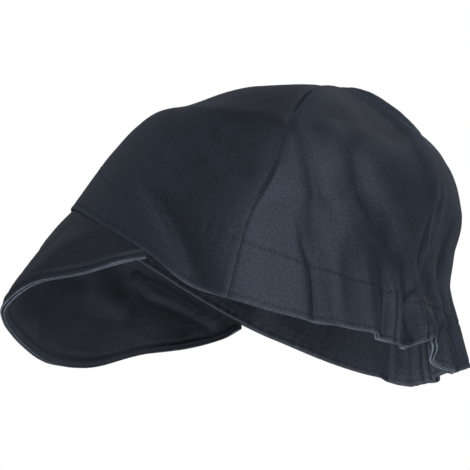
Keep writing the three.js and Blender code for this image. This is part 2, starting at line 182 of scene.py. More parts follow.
# Finer folds that only the dressed cloth has. Each runs up the crown through its rows: the share of the way up,
# the angle of its middle, how wide it is on the side of smaller and of larger angles and how deep, all in
# millimetres, with negative depths for puffs. The power says how sharp its crest is: 2 is round, 1 is a crease.
FOLD_COLUMNS = ("share", "angle", "before", "after", "depth")
FINE_FOLDS = {
    "seam_crease": (2, (0.42, 99.6, 0.9, 1.5, 0), (0.5, 99.7, 0.9, 1.4, 0.3), (0.62, 99.8, 0.9, 1.5, 0.9),
        (0.7, 100, 0.9, 1.5, 2.8), (0.78, 101, 0.9, 1.6, 3.6), (0.84, 105, 1.0, 2.0, 2.6),
        (0.91, 113, 1.4, 3, 0)),
    "seam_puff": (2, (0.38, 102, 2, 6, 0), (0.5, 103, 2.5, 7, -0.8), (0.65, 104.5, 3, 8, -1.5),
        (0.76, 107.5, 3, 9, -1.8), (0.84, 114, 4, 9, -1.0), (0.9, 122, 5, 9, 0)),
    "seam_ridge": (1.8, (-0.05, 99, 20, 9, -1.6), (0.05, 99, 20, 9, -2.2), (0.15, 99, 21, 9, -2.6),
        (0.25, 99.2, 20, 9, -2.2), (0.36, 99.6, 16, 8, -1.0), (0.46, 99.6, 12, 8, 0)),
    "seam_pinch": (2, (0.16, 98.6, 0.9, 1.4, 0), (0.22, 98.8, 0.9, 1.4, 0.6), (0.3, 99, 0.9, 1.4, 0.7),
        (0.37, 99.4, 0.9, 1.6, 0)),
    "elastic_start": (1.6, (-0.04, 120.3, 1.8, 2.4, 1.4), (0.02, 119.5, 1.8, 2.4, 1.7),
        (0.06, 119, 1.8, 2.4, 1.8), (0.085, 118, 1.6, 2.8, 1.6), (0.112, 116, 1.8, 2.8, 0.95),
        (0.152, 114, 2.2, 3, 0.5), (0.22, 111, 3.0, 4, 0.25), (0.29, 109, 4, 5, 0.15), (0.35, 108, 5, 5, 0)),
    "ear_slack": (2, (0.14, 123, 5, 6, 0), (0.22, 121, 5, 6, 0.9), (0.29, 114.5, 5, 6, 1.2),
        (0.36, 110, 5, 6, 1.4), (0.43, 106, 5, 6, 1.3), (0.5, 102.5, 4, 6, 0.9), (0.6, 101, 4, 5, 0)),
    "ear_swell": (2, (0.28, 122, 7, 8, 0), (0.38, 119, 7, 8, -1.3), (0.46, 116.5, 7, 8, -1.5),
        (0.56, 114, 7, 8, -1.1), (0.68, 112, 7, 8, 0)),
    "mid_slack": (2, (0.2, 139, 5, 6, 0), (0.28, 134, 5, 6, 0.9), (0.36, 127, 5, 6, 1.0),
        (0.46, 123, 5, 6, 0.9), (0.6, 121, 5, 6, 0.5), (0.74, 120, 5, 6, 0)),
    "back_swell": (2, (0.14, 152, 8, 7, 0), (0.24, 147, 8, 8, -1.1), (0.3, 144, 8, 8, -1.4),
        (0.36, 138, 8, 9, -1.3), (0.44, 132, 9, 9, -0.9), (0.54, 128, 9, 9, 0)),
    "low_swell": (2, (0.09, 130, 8, 8, 0), (0.17, 128, 8, 9, -1.5), (0.24, 126.5, 8, 9, -1.4),
        (0.32, 125, 9, 9, 0)),
    "back_slack": (2, (0.09, 154, 2.5, 3, 0), (0.12, 157, 2.8, 3, 1.1), (0.17, 159, 3.2, 3, 1.7),
        (0.3, 160.5, 3.8, 3, 1.6), (0.42, 163.5, 3.8, 3, 0.9), (0.54, 165, 3, 3, 0)),
    "back_seam_edge": (1.5, (0.1, 155, 1.4, 2, 0), (0.13, 157.5, 1.4, 2, -0.8), (0.22, 161.3, 1.5, 2, -1.2),
        (0.3, 164, 1.5, 2, -1.2), (0.39, 165.5, 1.5, 2, -0.8), (0.48, 168, 2, 2, 0)),
    "rear_ridge": (2, (0.44, 161, 5, 2, 0), (0.54, 157.5, 5, 1.5, -1.6), (0.62, 154, 5, 1.5, -2.3),
        (0.7, 151, 5, 1.5, -2.6), (0.8, 147, 5, 1.5, -2.5), (0.9, 143.5, 4, 1.5, -1.6), (0.96, 142, 3, 2, 0)),
    "nape_slack": (2, (0.09, 164, 2, 2.4, 0), (0.12, 168, 2.2, 2.4, 1.2), (0.17, 173, 2.6, 2.8, 1.9),
        (0.26, 176.5, 3.2, 3.2, 1.7), (0.36, 177.5, 3.4, 3.4, 1.0), (0.46, 178, 3.4, 3.4, 0)),
    "casing_pleat": (1.8, (-0.04, 138.3, 1.6, 2.4, 3.0), (0.004, 139, 1.6, 2.4, 3.2),
        (0.03, 140, 1.6, 2.2, 2.6), (0.06, 141.2, 1.6, 2, 1.4), (0.09, 142.2, 1.6, 2, 0)),
    "casing_line": (1.6, (-0.04, 142.6, 0.9, 1.2, 0.4), (0.004, 143.4, 0.9, 1.3, 0.9),
        (0.04, 144.6, 0.9, 1.3, 1.0), (0.07, 145.4, 0.9, 1.3, 0.8), (0.11, 146.6, 0.9, 1.3, 0)),
    "casing_sweep": (1.8, (-0.04, 145.4, 2, 3, 2.2), (0.008, 146.4, 2, 3, 2.8), (0.036, 147.6, 2.2, 3.2, 2.8),
        (0.065, 150.5, 2.4, 3.2, 2.4), (0.09, 153.5, 2.4, 3, 2.0), (0.12, 157.5, 2.2, 2.6, 0.8),
        (0.15, 160, 2, 2.4, 0)),
    "casing_puff": (2, (-0.05, 155.5, 4, 3.4, -1.5), (0.02, 156.5, 4.4, 3.6, -2.4),
        (0.05, 158.5, 4.2, 3.6, -2.2), (0.08, 161.5, 3.6, 3, -1.0), (0.105, 164, 3, 3, 0)),
    "casing_curl": (1.8, (-0.05, 163.2, 2.2, 3.2, 4.0), (0.0, 163.8, 2.2, 3.0, 3.8), (0.03, 165, 2.0, 2.6, 2.6),
        (0.06, 167, 1.8, 2.2, 1.4), (0.1, 170, 1.6, 2, 0)),
    "nape_pleat_1": (1.6, (-0.05, 168, 1.1, 1.4, 2.2), (0.03, 169, 1.1, 1.4, 2.2), (0.08, 171.5, 1.1, 1.4, 0.9),
        (0.11, 173, 1.2, 1.4, 0)),
    "nape_pleat_2": (1.6, (-0.05, 172, 1.2, 1.4, 2.2), (0.03, 173.5, 1.2, 1.4, 2.5), (0.08, 177, 1.2, 1.4, 1.2),
        (0.12, 179, 1.2, 1.4, 0)),
    "nape_pleat_3": (1.6, (-0.05, 179, 1.4, 1.6, 2.2), (0.04, 181, 1.4, 1.6, 2.6), (0.1, 184, 1.4, 1.6, 0.8),
        (0.13, 185, 1.4, 1.6, 0)),
    "nape_pleat_4": (1.6, (-0.05, 189, 1.5, 1.5, 1.8), (0.05, 190, 1.5, 1.5, 1.6), (0.11, 192, 1.5, 1.5, 0)),
    "nape_pleat_5": (1.6, (-0.05, 199, 1.5, 1.8, 1.8), (0.05, 198, 1.5, 1.8, 2.2), (0.12, 197, 1.5, 1.8, 0)),
    "nape_pleat_6": (1.6, (-0.05, 208, 1.4, 1.6, 1.8), (0.05, 208, 1.4, 1.6, 1.6), (0.1, 207, 1.5, 1.8, 0)),
    "nape_pleat_7": (1.6, (-0.05, 216, 1.4, 1.6, 1.6), (0.05, 215.5, 1.4, 1.6, 1.8), (0.13, 214, 1.5, 1.8, 0)),
    "nape_pleat_8": (1.6, (-0.05, 223, 1.2, 1.4, 1.7), (0.05, 223, 1.2, 1.4, 1.5), (0.1, 222, 1.3, 1.6, 0)),
    "nape_pleat_9": (1.6, (-0.05, 229.5, 1.2, 1.5, 1.8), (0.05, 229.5, 1.2, 1.5, 1.5), (0.1, 229, 1.3, 1.6, 0)),
    "far_elastic_start": (1.6, (-0.05, 237, 1.4, 1.4, 1.6), (0.05, 237, 1.6, 1.6, 1.8), (0.1, 239, 2, 2, 1.6),
        (0.2, 243, 3, 3, 0.9), (0.3, 246, 4, 4, 0)),
    "brow_slack_left": (2, (-0.05, 92, 5, 6, 1.0), (0.0, 89.5, 5, 6, 1.2), (0.05, 83, 5, 7, 1.6),
        (0.1, 75, 5, 7, 1.7), (0.16, 66, 6, 8, 1.2), (0.24, 58, 8, 9, 0)),
    "ear_front_slack": (2, (0.24, 92, 5, 5, 0), (0.3, 88, 6, 6, 1.0), (0.35, 82, 6, 7, 0.8),
        (0.42, 76, 7, 7, 0)),
    "top_front_slack": (2, (0.3, 62, 9, 10, 0), (0.42, 56, 10, 12, 1.0), (0.56, 48, 10, 12, 0.9),
        (0.7, 40, 10, 12, 0)),
    "brow_slack_right": (2, (0.08, 330, 8, 9, 0), (0.14, 333, 8, 9, 1.0), (0.24, 338, 8, 9, 0.9),
        (0.36, 344, 9, 9, 0)),
    "right_seam_ridge": (1.2, (-0.05, 261, 9, 13, -1.2), (0.1, 261, 9, 13, -2.0), (0.25, 261, 9, 12, -1.6),
        (0.4, 261, 9, 12, 0)),
    "right_puff": (2, (0.4, 258, 7, 2, 0), (0.6, 256, 8, 3, -1.3), (0.76, 252, 9, 3, -1.5),
        (0.88, 246, 9, 4, 0)),
    "right_slack": (2, (0.14, 239, 6, 5, 0), (0.25, 244, 6, 5, 1.4), (0.38, 251, 6, 5, 1.7),
        (0.5, 256, 6, 4, 1.0), (0.6, 258, 5, 4, 0)),
    "right_swell": (2, (0.14, 208, 8, 8, 0), (0.28, 216, 8, 8, -1.7), (0.4, 226, 9, 9, -1.4),
        (0.54, 232, 9, 9, 0)),
    "right_back_slack": (2, (0.12, 203, 3, 3, 0), (0.2, 200, 3.4, 3.4, 1.8), (0.32, 196, 3.4, 3.4, 1.6),
        (0.44, 194, 3.4, 3.4, 0)),
}


def read_table(table, column, at):
    """A column of a table between its rows: a cubic through neighbouring rows whose slope at each row is that of
    the chord between the rows on either side of it."""
    rows = np.array(table["rows"], float)
    x = rows[:, 0]
    y = rows[:, table["columns"].index(column)]
    low = np.maximum(np.arange(len(x)) - 1, 0)
    high = np.minimum(np.arange(len(x)) + 1, len(x) - 1)
    slope = (y[high] - y[low]) / (x[high] - x[low])
    at = np.asarray(at, float)
    k = np.clip(np.searchsorted(x, at, side="right") - 1, 0, len(x) - 2)
    span = x[k + 1] - x[k]
    t = (at - x[k]) / span
    curve = (
        (2 * t**3 - 3 * t**2 + 1) * y[k]
        + (t**3 - 2 * t**2 + t) * span * slope[k]
        + (3 * t**2 - 2 * t**3) * y[k + 1]
        + (t**3 - t**2) * span * slope[k + 1]
    )
    return np.where(t <= 0, y[k] + slope[k] * span * t, curve)


def smooth_step(x):
    """0 below 0, 1 above 1, and 3x^2 - 2x^3 between."""
    t = np.clip(x, 0, 1)
    return t * t * (3 - 2 * t)


def bell(x, power=2):
    """1 at 0, falling to both sides as the exponential of minus the distance to a power."""
    return np.exp(-(np.abs(x) ** power))


def wrap(angle):
    """An angle brought into -180..180 degrees."""
    return (np.asarray(angle, float) + 180) % 360 - 180


def unit(v):
    return v / np.maximum(np.linalg.norm(v, axis=-1, keepdims=True), 1e-9)


def smooth_crown(angle, share):
    """The crown before seams and folds: at each share of the way up, an oval round a line from its front to its
    rear point, as wide as the table says at its middle, and hanging by the dip times the sine squared over the
    ears."""
    angle, share = np.broadcast_arrays(np.asarray(angle, float), np.asarray(share, float))
    read = {name: read_table(CROWN_SECTIONS, name, share) for name in CROWN_SECTIONS["columns"][1:]}
    front_y = read["front"] * HEAD_HALF_LENGTH
    rear_y = read["rear"] * HEAD_HALF_LENGTH
    front_z = read["front_up"] * CROWN_RISE
    rear_z = read["rear_up"] * CROWN_RISE
    middle_y = read["middle"] * HEAD_HALF_LENGTH
    along = np.where(share >= 1, 0, (middle_y - front_y) / np.maximum(rear_y - front_y, 1e-6))
    middle_z = front_z + (rear_z - front_z) * along
    c = np.cos(np.radians(angle))
    s = np.sin(np.radians(angle))
    y = middle_y + (np.where(c >= 0, front_y, rear_y) - middle_y) * np.abs(c)
    z = middle_z + (np.where(c >= 0, front_z, rear_z) - middle_z) * np.abs(c) - s * s * read["dip"] * CROWN_RISE
    return np.stack([s * read["width"] * HEAD_HALF_WIDTH, y, z], -1)


def share_per_mm(angle):
    step = 0.05
    return step / np.linalg.norm(smooth_crown(angle, step) - smooth_crown(angle, 0), axis=-1)


def hem_share(angle):
    return HEM_HEIGHT * share_per_mm(angle)


def top_share(angle):
    return np.full_like(angle, CROWN_TOP_SHARE)


def rim_share(angle):
    return -read_table(RIM_LINE, "drop", wrap(angle)) * hem_share(angle)


def turn_angle(turn, share):
    """Turns count the panels: 0 and 4 are the brow, 1 the left seam, 2 the rear seam and 3 the right seam."""
    turn, share = np.broadcast_arrays(np.asarray(turn, float), np.asarray(share, float))
    seams = [np.zeros_like(share)]
    seams += [read_table(CROWN_SEAMS, name, share) for name in ("left", "rear", "right")]
    seams = np.stack(seams + [np.full_like(share, 360)])
    panel = np.clip(np.floor(turn).astype(int), 0, 3)
    start = np.take_along_axis(seams, panel[None], 0)[0]
    end = np.take_along_axis(seams, panel[None] + 1, 0)[0]
    return start + (end - start) * (turn - panel)


CASING_FROM = float(turn_angle(CASING_START_LEFT, 0))
CASING_TO = float(turn_angle(CASING_START_RIGHT, 0))


NAPE_EASE = 10  # degrees


def nape(angle):
    """1 over the gathered casing and 0 elsewhere, with some degrees to change in."""
    turned = np.asarray(angle, float) % 360
    return smooth_step((turned - CASING_FROM) / NAPE_EASE) * smooth_step((CASING_TO - turned) / NAPE_EASE)


def gather(angle, share):
    """The casing's gathers: a cosine round the nape whose strength drifts, full over the hem, gone above it and
    faint where the elastic starts on the left."""
    turn = ((np.asarray(angle, float) % 360 - CASING_FROM) * DEGREE * HEAD_HALF_LENGTH) / GATHER_WIDTH
    above = smooth_step((share / hem_share(angle) - 0.9) / 1.6)
    broad = np.cos(2 * np.pi * turn) * (0.8 + 0.2 * np.cos(turn * 2.3))
    taut = 0.35 + 0.65 * smooth_step((turn - 1.0) / 0.9)
    return GATHER_DEPTH * nape(angle) * (1 - above) * broad * taut


def ripple(points, size, seed):
    """A soft random height between about -1 and 1: six sine waves of nearly one length in directions drawn from
    the seed, each bent by the one before."""
    rng = np.random.default_rng(seed)
    total = np.zeros(points.shape[:-1])
    bend = np.zeros(points.shape[:-1])
    for _ in range(6):
        direction = rng.normal(size=3)
        direction /= np.linalg.norm(direction)
        length = size * rng.uniform(0.75, 1.35)
        wave = np.sin(2 * np.pi * (points @ direction) / length + rng.uniform(0, 2 * np.pi) + 1.1 * bend)
        bend = wave
        total += wave
    return total / 3


def fold_depth(angle, share, radius):
    """Valleys and ridges along straight lines in angle and share, each a bell across and fading at its ends."""
    depth = np.zeros(np.broadcast(angle, share).shape)
    for from_angle, from_share, to_angle, to_share, width, fold in CROWN_FOLDS:
        t = (share - from_share) / (to_share - from_share)
        fade = smooth_step((t + 0.3) / 0.3) * smooth_step((1 - t) / 0.5)
        away = wrap(angle - (from_angle + (to_angle - from_angle) * t)) * DEGREE * radius
        depth = depth + fold * CLOTH * fade * bell(away / (width * HEAD_HALF_WIDTH))
    return depth


def fine_fold(name, angle, share, radius):
    """One of the finer folds: a bell across its own line, with a width on each side of it."""
    power, *rows = FINE_FOLDS[name]
    table = {"columns": FOLD_COLUMNS, "rows": rows}
    at = np.clip(share, rows[0][0], rows[-1][0])
    centre, before, after, deep = (read_table(table, column, at) for column in FOLD_COLUMNS[1:])
    away = wrap(angle - centre) * DEGREE * radius
    return deep * bell(away / np.where(away < 0, before, after), power)


def fine_fold_depth(angle, share, radius):
    """The finer folds together."""
    return np.sum([fine_fold(name, angle, share, radius) for name in FINE_FOLDS], axis=0)


def seam_distance(angle, share, radius):
    """Millimetres to the nearest of the four seams."""
    away = [np.abs(wrap(angle - turn_angle(turn, share))) for turn in SEAM_TURNS]
    return np.min(away, axis=0) * DEGREE * radius


def stitch_pucker(angle, share):
    """Small puckers where lines of stitches hold the cloth: short waves along the line that die out a few
    millimetres to each side, and a shallow groove under the stitches. The lines are the hem's and the rim's."""
    per_mm = share_per_mm(angle)
    mm_up = share / per_mm
    mm_round = np.asarray(angle, float) * DEGREE * HEAD_HALF_LENGTH
    drift = np.sin(mm_round * 0.13) + np.sin(mm_round * 0.071 + 1.7)
    wave = np.sin(mm_round * 0.95 + 1.6 * drift) + 0.5 * np.sin(mm_round * 1.9 + 2.3 * drift)
    hem = mm_up - HEM_HEIGHT
    rim = (share - rim_share(angle)) / per_mm - RIM_STITCH_HEIGHT
    strength = 0.6 + 0.3 * drift
    taut = 0.2 + 0.8 * smooth_step((np.abs(wrap(angle)) - 62) / 24)
    puckers = 0.13 * strength * wave * (taut * bell(hem / 4.0) + 0.6 * bell(rim / 2.5))
    return puckers + 0.3 * taut * bell(hem / 0.8) + 0.22 * bell(rim / 0.7)


PLAIN, FOLDED, DRESSED = 0, 1, 2

# Slack of the dressed cloth: how deep and how long its broad and its fine ripples are, in millimetres
BROAD_SLACK, BROAD_RIPPLE = 0.42, 52
FINE_SLACK, FINE_RIPPLE = 0.12, 19


def inset(angle, share, finish):
    """How far the cloth lies inside the smooth crown: gathers, seams and main folds, then the finer folds, and
    when dressed the grooves of the seams, the puckers and the slack as well."""
    radius = read_table(CROWN_SECTIONS, "width", share) * HEAD_HALF_WIDTH
    depth = gather(angle, share) + fold_depth(angle, share, radius)
    for turn in SEAM_TURNS:
        away = wrap(angle - turn_angle(turn, share)) * DEGREE * radius
        depth = depth + SEAM_DEPTH * bell(away / SEAM_REACH)
    if finish >= FOLDED:
        depth = depth + fine_fold_depth(angle, share, radius)
    if finish >= DRESSED:
        depth = depth + SEAM_GROOVE_DEPTH * bell(seam_distance(angle, share, radius))
        depth = depth + stitch_pucker(angle, share)
        place = smooth_crown(angle, share)
        slack = smooth_step(share / 0.3) * smooth_step((1 - share) / 0.12)
        broad = BROAD_SLACK * ripple(place, BROAD_RIPPLE, 3)
        fine = FINE_SLACK * ripple(place, FINE_RIPPLE, 8)
        depth = depth + slack * (broad + fine)
    return depth


def folded_crown(angle, share, finish):
    """The smooth crown with the inset taken off it, square to it."""
    low = np.minimum(share, 0.985)
    around = smooth_crown(angle + 0.5, low) - smooth_crown(angle - 0.5, low)
    up = smooth_crown(angle, low + 0.004) - smooth_crown(angle, low - 0.004)
    return smooth_crown(angle, share) - unit(np.cross(around, up)) * inset(angle, share, finish)[..., None]


def crown_normal(angle, share, finish):
    """Square to the folded crown: the cross product of its slopes round and up."""
    low = np.minimum(share, 0.98)
    around = folded_crown(angle + 0.3, low, finish) - folded_crown(angle - 0.3, low, finish)
    up = folded_crown(angle, low + 0.003, finish) - folded_crown(angle, low - 0.003, finish)
    return unit(np.cross(around, up))


def grid_normal(points):
    """Square to a grid of points whose columns run round and whose rows run up."""
    return unit(np.cross(np.gradient(points, axis=1), np.gradient(points, axis=0)))


def crown_grid(turns, shares_of_height, low_share, high_share, clear):
    """Angles and shares of rows up and columns round between two turns: each row at its share of the way from the
    low to the high line, with the end columns kept clear of the seams."""
    turn = turns[None, :]
    at_rim = turn_angle(turn, 0)
    share = low_share(at_rim) + (high_share(at_rim) - low_share(at_rim)) * shares_of_height[:, None]
    angle = turn_angle(turn, share)
    per_degree = np.linalg.norm(smooth_crown(angle + 1, share) - smooth_crown(angle - 1, share), axis=-1) / 2
    side = 1 - 2 * np.linspace(0, 1, len(turns))[None, :]
    return angle + side * clear / np.maximum(per_degree, 0.12), share


# Meshes


def rounded_wall(outer, inner):
    """A wall between two grids of equal size whose low and high edges are half round: each column is a closed loop
    up the outer face, round the top edge, down the inner face and round the bottom edge."""
    middle = (outer + inner) / 2
    half = (outer - inner) / 2
    thick = np.linalg.norm(half, axis=-1, keepdims=True)
    turns = np.linspace(0, math.pi, EDGE_STEPS + 2)[1:-1]

    def edge(row, beyond, start):
        away = unit(middle[row] - middle[beyond])
        return np.stack([
            middle[row] + half[row] * (start * math.cos(t)) + away * thick[row] * math.sin(t) for t in turns
        ])

    return np.concatenate([outer, edge(-1, -2, 1), inner[::-1], edge(0, 1, -1)])


def loop_faces(rings, columns):
    """Quads between neighbouring columns of closed loops, and a strip across each end."""
    ring, column = np.meshgrid(np.arange(rings), np.arange(columns - 1), indexing="ij")
    ahead = (ring + 1) % rings
    quads = np.stack([ring * columns + column, ring * columns + column + 1, ahead * columns + column + 1,
                      ahead * columns + column], -1).reshape(-1, 4)
    k = np.arange(rings // 2 - 1)
    first = np.stack([k, k + 1, rings - 2 - k, rings - 1 - k], -1) * columns
    last = first[:, ::-1] + columns - 1
    return np.concatenate([quads, first, last])


def put_mesh(name, points, faces, material, uv=None, values=None):
    """A mesh of quads in metres, with a UV in metres of cloth and named values at its points."""
    mesh = bpy.data.meshes.new(name)
    mesh.vertices.add(len(points))
    mesh.vertices.foreach_set("co", (points * MM).astype(np.float32).ravel())
    mesh.loops.add(faces.size)
    mesh.loops.foreach_set("vertex_index", faces.astype(np.int32).ravel())
    mesh.polygons.add(len(faces))
    mesh.polygons.foreach_set("loop_start", np.arange(0, faces.size, 4, dtype=np.int32))
    mesh.update(calc_edges=True)
    mesh.polygons.foreach_set("use_smooth", np.ones(len(mesh.polygons), bool))
    if uv is not None:
        layer = mesh.uv_layers.new(name="cloth")
        layer.data.foreach_set("uv", uv[faces.ravel()].astype(np.float32).ravel())
    for key, value in (values or {}).items():
        mesh.attributes.new(key, "FLOAT", "POINT").data.foreach_set("value", value.astype(np.float32).ravel())
    mesh.materials.append(material)
    piece = bpy.data.objects.new(name, mesh)
    bpy.context.scene.collection.objects.link(piece)
    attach(piece, "root")
    return piece


def cloth_uv(outer):
    """Metres of cloth along and up a grid: running lengths of one of its lower rows and of each of its columns."""
    row = outer[len(outer) // 4]
    along = np.cumsum(np.linalg.norm(np.diff(row, axis=0, prepend=row[:1]), axis=-1))
    up = np.cumsum(np.linalg.norm(np.diff(outer, axis=0, prepend=outer[:1]), axis=-1), axis=0)
    return np.stack([np.broadcast_to(along, up.shape), up], -1) * MM


EDGE_WEAR = 1.15


def cloth_piece(node, outer, inner, material, wear_and_highlight, painted_shading):
    """One cut piece of cloth as a wall with round edges. Its two attributes hold, at each point of the outer grid,
    how much paler the cloth is where it is worn and where painted highlights are, and how much paler or darker
    painted light and shade makes it. The round edges are worn along their crests."""
    columns = outer.shape[1]
    loop = rounded_wall(outer, inner)
    uv = cloth_uv(outer)
    crest = EDGE_WEAR * np.sin(np.pi * np.arange(1, EDGE_STEPS + 1) / (EDGE_STEPS + 1)) ** 4
    worn = np.repeat(crest[:, None], columns, 1)
    top_uv, rim_uv = (np.repeat(row, EDGE_STEPS, 0) for row in (uv[-1:], uv[:1]))
    loop_uv = np.concatenate([uv, top_uv, uv[::-1], rim_uv])
    loop_wear_and_highlight = np.concatenate([wear_and_highlight, worn, wear_and_highlight[::-1], worn])
    loop_painted_shading = np.concatenate([painted_shading, 0 * worn, painted_shading[::-1], 0 * worn])
    faces = loop_faces(len(loop), columns)
    # the attributes: paleness of worn cloth with painted highlights, and painted light and shade
    values = {"wear_and_highlight": loop_wear_and_highlight, "painted_shading": loop_painted_shading}
    piece = put_mesh(node, loop.reshape(-1, 3), faces, material, loop_uv.reshape(-1, 2), values)
    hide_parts(node)


STITCH_SIDES = 6
STITCH_RINGS = 5
STITCH_PITCH = 2.5
STITCH_LENGTH = 1.8
CROWN_THREAD = 0.28
PEAK_THREAD = 0.26


def stitch_row(path, normal, thread):
    """Stitches along a path: each a rod of thread of six sides, round at its ends, that rises from the cloth, lies
    on it and goes down into it again as half a sine."""
    run = np.concatenate([[0], np.cumsum(np.linalg.norm(np.diff(path, axis=0), axis=-1))])
    starts = np.arange(0.5 * STITCH_PITCH, run[-1] - STITCH_PITCH, STITCH_PITCH)
    t = np.linspace(0, 1, STITCH_RINGS)
    at = starts[:, None] + STITCH_LENGTH * t[None, :]
    centre = np.stack([np.interp(at, run, path[:, k]) for k in range(3)], -1)
    out = unit(np.stack([np.interp(at, run, normal[:, k]) for k in range(3)], -1))
    ahead = unit(np.gradient(centre, axis=1))
    side = unit(np.cross(ahead, out))
    rise = (np.sin(np.pi * t) - 0.55) * thread
    thick = thread / 2 * np.sqrt(np.maximum(1 - (2 * t - 1) ** 4, 0.08))
    turn = np.linspace(0, 2 * np.pi, STITCH_SIDES, endpoint=False)
    around = (
        side[:, :, None, :] * np.cos(turn)[None, None, :, None]
        + out[:, :, None, :] * np.sin(turn)[None, None, :, None]
    )
    points = (centre + out * rise[None, :, None])[:, :, None, :] + thick[None, :, None, None] * around
    ring, step = np.meshgrid(np.arange(STITCH_RINGS - 1), np.arange(STITCH_SIDES), indexing="ij")
    beside = (step + 1) % STITCH_SIDES
    low = ring * STITCH_SIDES
    body = np.stack([low + step, low + beside, low + STITCH_SIDES + beside, low + STITCH_SIDES + step],
                    -1).reshape(-1, 4)
    cap = np.array([[3, 2, 1, 0], [5, 4, 3, 0]])
    end = (STITCH_RINGS - 1) * STITCH_SIDES + cap[:, ::-1]
    one = np.concatenate([body, cap, end])
    count = STITCH_RINGS * STITCH_SIDES
    faces = (one[None] + (np.arange(len(starts)) * count)[:, None, None]).reshape(-1, 4)
    return points.reshape(-1, 3), faces


def stitching(name, rows):
    """Rows of stitches joined into one mesh."""
    points, faces, first = [], [], 0
    for row_points, row_faces in rows:
        points.append(row_points)
        faces.append(row_faces + first)
        first += len(row_points)
    piece = put_mesh(name, np.concatenate(points), np.concatenate(faces), THREAD)


# Materials


def feed(tree, node, **settings):
    """Sets up a node. A setting that starts with in_ is an input, by name or number, and is a number, a colour or
    what another node gives."""
    for key, value in settings.items():
        if not key.startswith("in_"):
            setattr(node, key, value)
            continue
        key = key[3:].replace("_", " ")
        socket = node.inputs[int(key) if key.isdigit() else key]
        if isinstance(value, bpy.types.NodeSocket):
            tree.links.new(value, socket)
        else:
            socket.default_value = (*value, 1) if isinstance(value, tuple) else value


def add(tree, kind, **settings):
    node = tree.nodes.new(kind)
    feed(tree, node, **settings)
    return node


def noise(tree, place, scale, detail, roughness=0.5):
    return add(tree, "ShaderNodeTexNoise", in_Vector=place, in_Scale=scale, in_Detail=detail,
               in_Roughness=roughness).outputs["Fac"]


def reckoned(tree, operation, *values):
    """What a sum of numbers or of what other nodes give comes to."""
    inputs = {f"in_{k}": value for k, value in enumerate(values)}
    return add(tree, "ShaderNodeMath", operation=operation, **inputs).outputs["Value"]


def spread(tree, value, from_low, from_high, to_low, to_high):
    """A value brought from one range into another, and kept inside it."""
    return add(tree, "ShaderNodeMapRange", in_Value=value, in_From_Min=from_low, in_From_Max=from_high,
               in_To_Min=to_low, in_To_Max=to_high).outputs["Result"]


def blended(tree, factor, a, b, blend_type="MIX"):
    return add(tree, "ShaderNodeMix", data_type="RGBA", blend_type=blend_type, in_Factor=factor, in_A=a,
               in_B=b).outputs["Result"]


def bumped(tree, height, strength, distance):
    return add(tree, "ShaderNodeBump", in_Height=height, in_Strength=strength,
               in_Distance=distance).outputs["Normal"]


def twill(name, base, worn, pale=1.35, deep=0.55):
    """Dark cotton twill: diagonal ribs, thread noise and slubs from the cloth's own UV, uneven dye, painted light
    and shade that makes the cloth pale or deep times the base where its attribute is at its limits, paler worn
    fibres at edges and seams and beside some stitched rows, painted highlights along ridges and folds in the same
    pale colour, and a soft sheen."""
    material = bpy.data.materials.new(name)
    material.use_nodes = True
    tree = material.node_tree
    tree.nodes.clear()

    uv = add(tree, "ShaderNodeUVMap", uv_map="cloth").outputs["UV"]
    place = add(tree, "ShaderNodeTexCoord").outputs["Object"]
    wear_and_highlight = add(tree, "ShaderNodeAttribute", attribute_name="wear_and_highlight").outputs["Fac"]
    painted_shading = add(tree, "ShaderNodeAttribute", attribute_name="painted_shading").outputs["Fac"]
    ribs = add(tree, "ShaderNodeTexWave", wave_type="BANDS", bands_direction="DIAGONAL", in_Vector=uv,
               in_Scale=520.0, in_Distortion=1.2, in_Detail=1.0, in_Detail_Scale=1.5).outputs["Fac"]
    threads = noise(tree, uv, 1300.0, 3.0, 0.7)
    slubs = noise(tree, uv, 900.0, 2.0, 0.6)
    dye = noise(tree, place, 34.0, 3.0, 0.55)
    lint = noise(tree, place, 420.0, 1.0)

    dyed = blended(tree, dye, tuple(c * 0.8 for c in base), tuple(c * 1.22 for c in base))
    speck = reckoned(tree, "MULTIPLY_ADD", threads, 3.0, -0.5)
    blotch = reckoned(tree, "ADD", slubs, 0.5)
    speckled = blended(tree, 1.0, dyed, reckoned(tree, "MULTIPLY", speck, blotch), "MULTIPLY")
    # painted light and shade: the base times pale to deep as the attribute goes from one limit to the other
    depth = spread(tree, painted_shading, -TONE_LIMIT, TONE_LIMIT, pale, deep)
    shaded = blended(tree, 1.0, speckled, depth, "MULTIPLY")
    # pale worn fibres and painted highlights, both mixed in by one attribute
    pale_mix = reckoned(tree, "MULTIPLY", wear_and_highlight, spread(tree, lint, 0.35, 0.75, 0.5, 1.0))
    weave = reckoned(tree, "MULTIPLY_ADD", threads, 10.0, ribs)
    shader = add(
        tree, "ShaderNodeBsdfPrincipled",
        in_Base_Color=blended(tree, pale_mix, shaded, worn),
        in_Roughness=0.58,
        in_Specular_IOR_Level=spread(tree, slubs, 0.3, 0.7, 0.28, 0.45),
        in_Specular_Tint=(0.7, 0.8, 1.0),
        in_Sheen_Weight=0.05,
        in_Sheen_Roughness=0.5,
        in_Sheen_Tint=(0.55, 0.68, 0.95),
        in_Normal=bumped(tree, weave, 0.6, 0.000055),
    )
    add(tree, "ShaderNodeOutputMaterial", in_Surface=shader.outputs["BSDF"])
    return material


def plain_material(name):
    """A new material, its tree and its shader."""
    material = bpy.data.materials.new(name)
    material.use_nodes = True
    return material, material.node_tree, material.node_tree.nodes["Principled BSDF"]


def thread_material():
    """Dark sewing thread with a faint twist."""
    material, tree, shader = plain_material("sewing_thread")
    twist = noise(tree, add(tree, "ShaderNodeTexCoord").outputs["Object"], 1800.0, 1.0)
    colour = blended(tree, twist, (0.006, 0.008, 0.012), (0.022, 0.027, 0.038))
    feed(tree, shader, in_Base_Color=colour, in_Roughness=0.8, in_Specular_IOR_Level=0.1,
         in_Normal=bumped(tree, twist, 0.4, 0.0001))
    return material
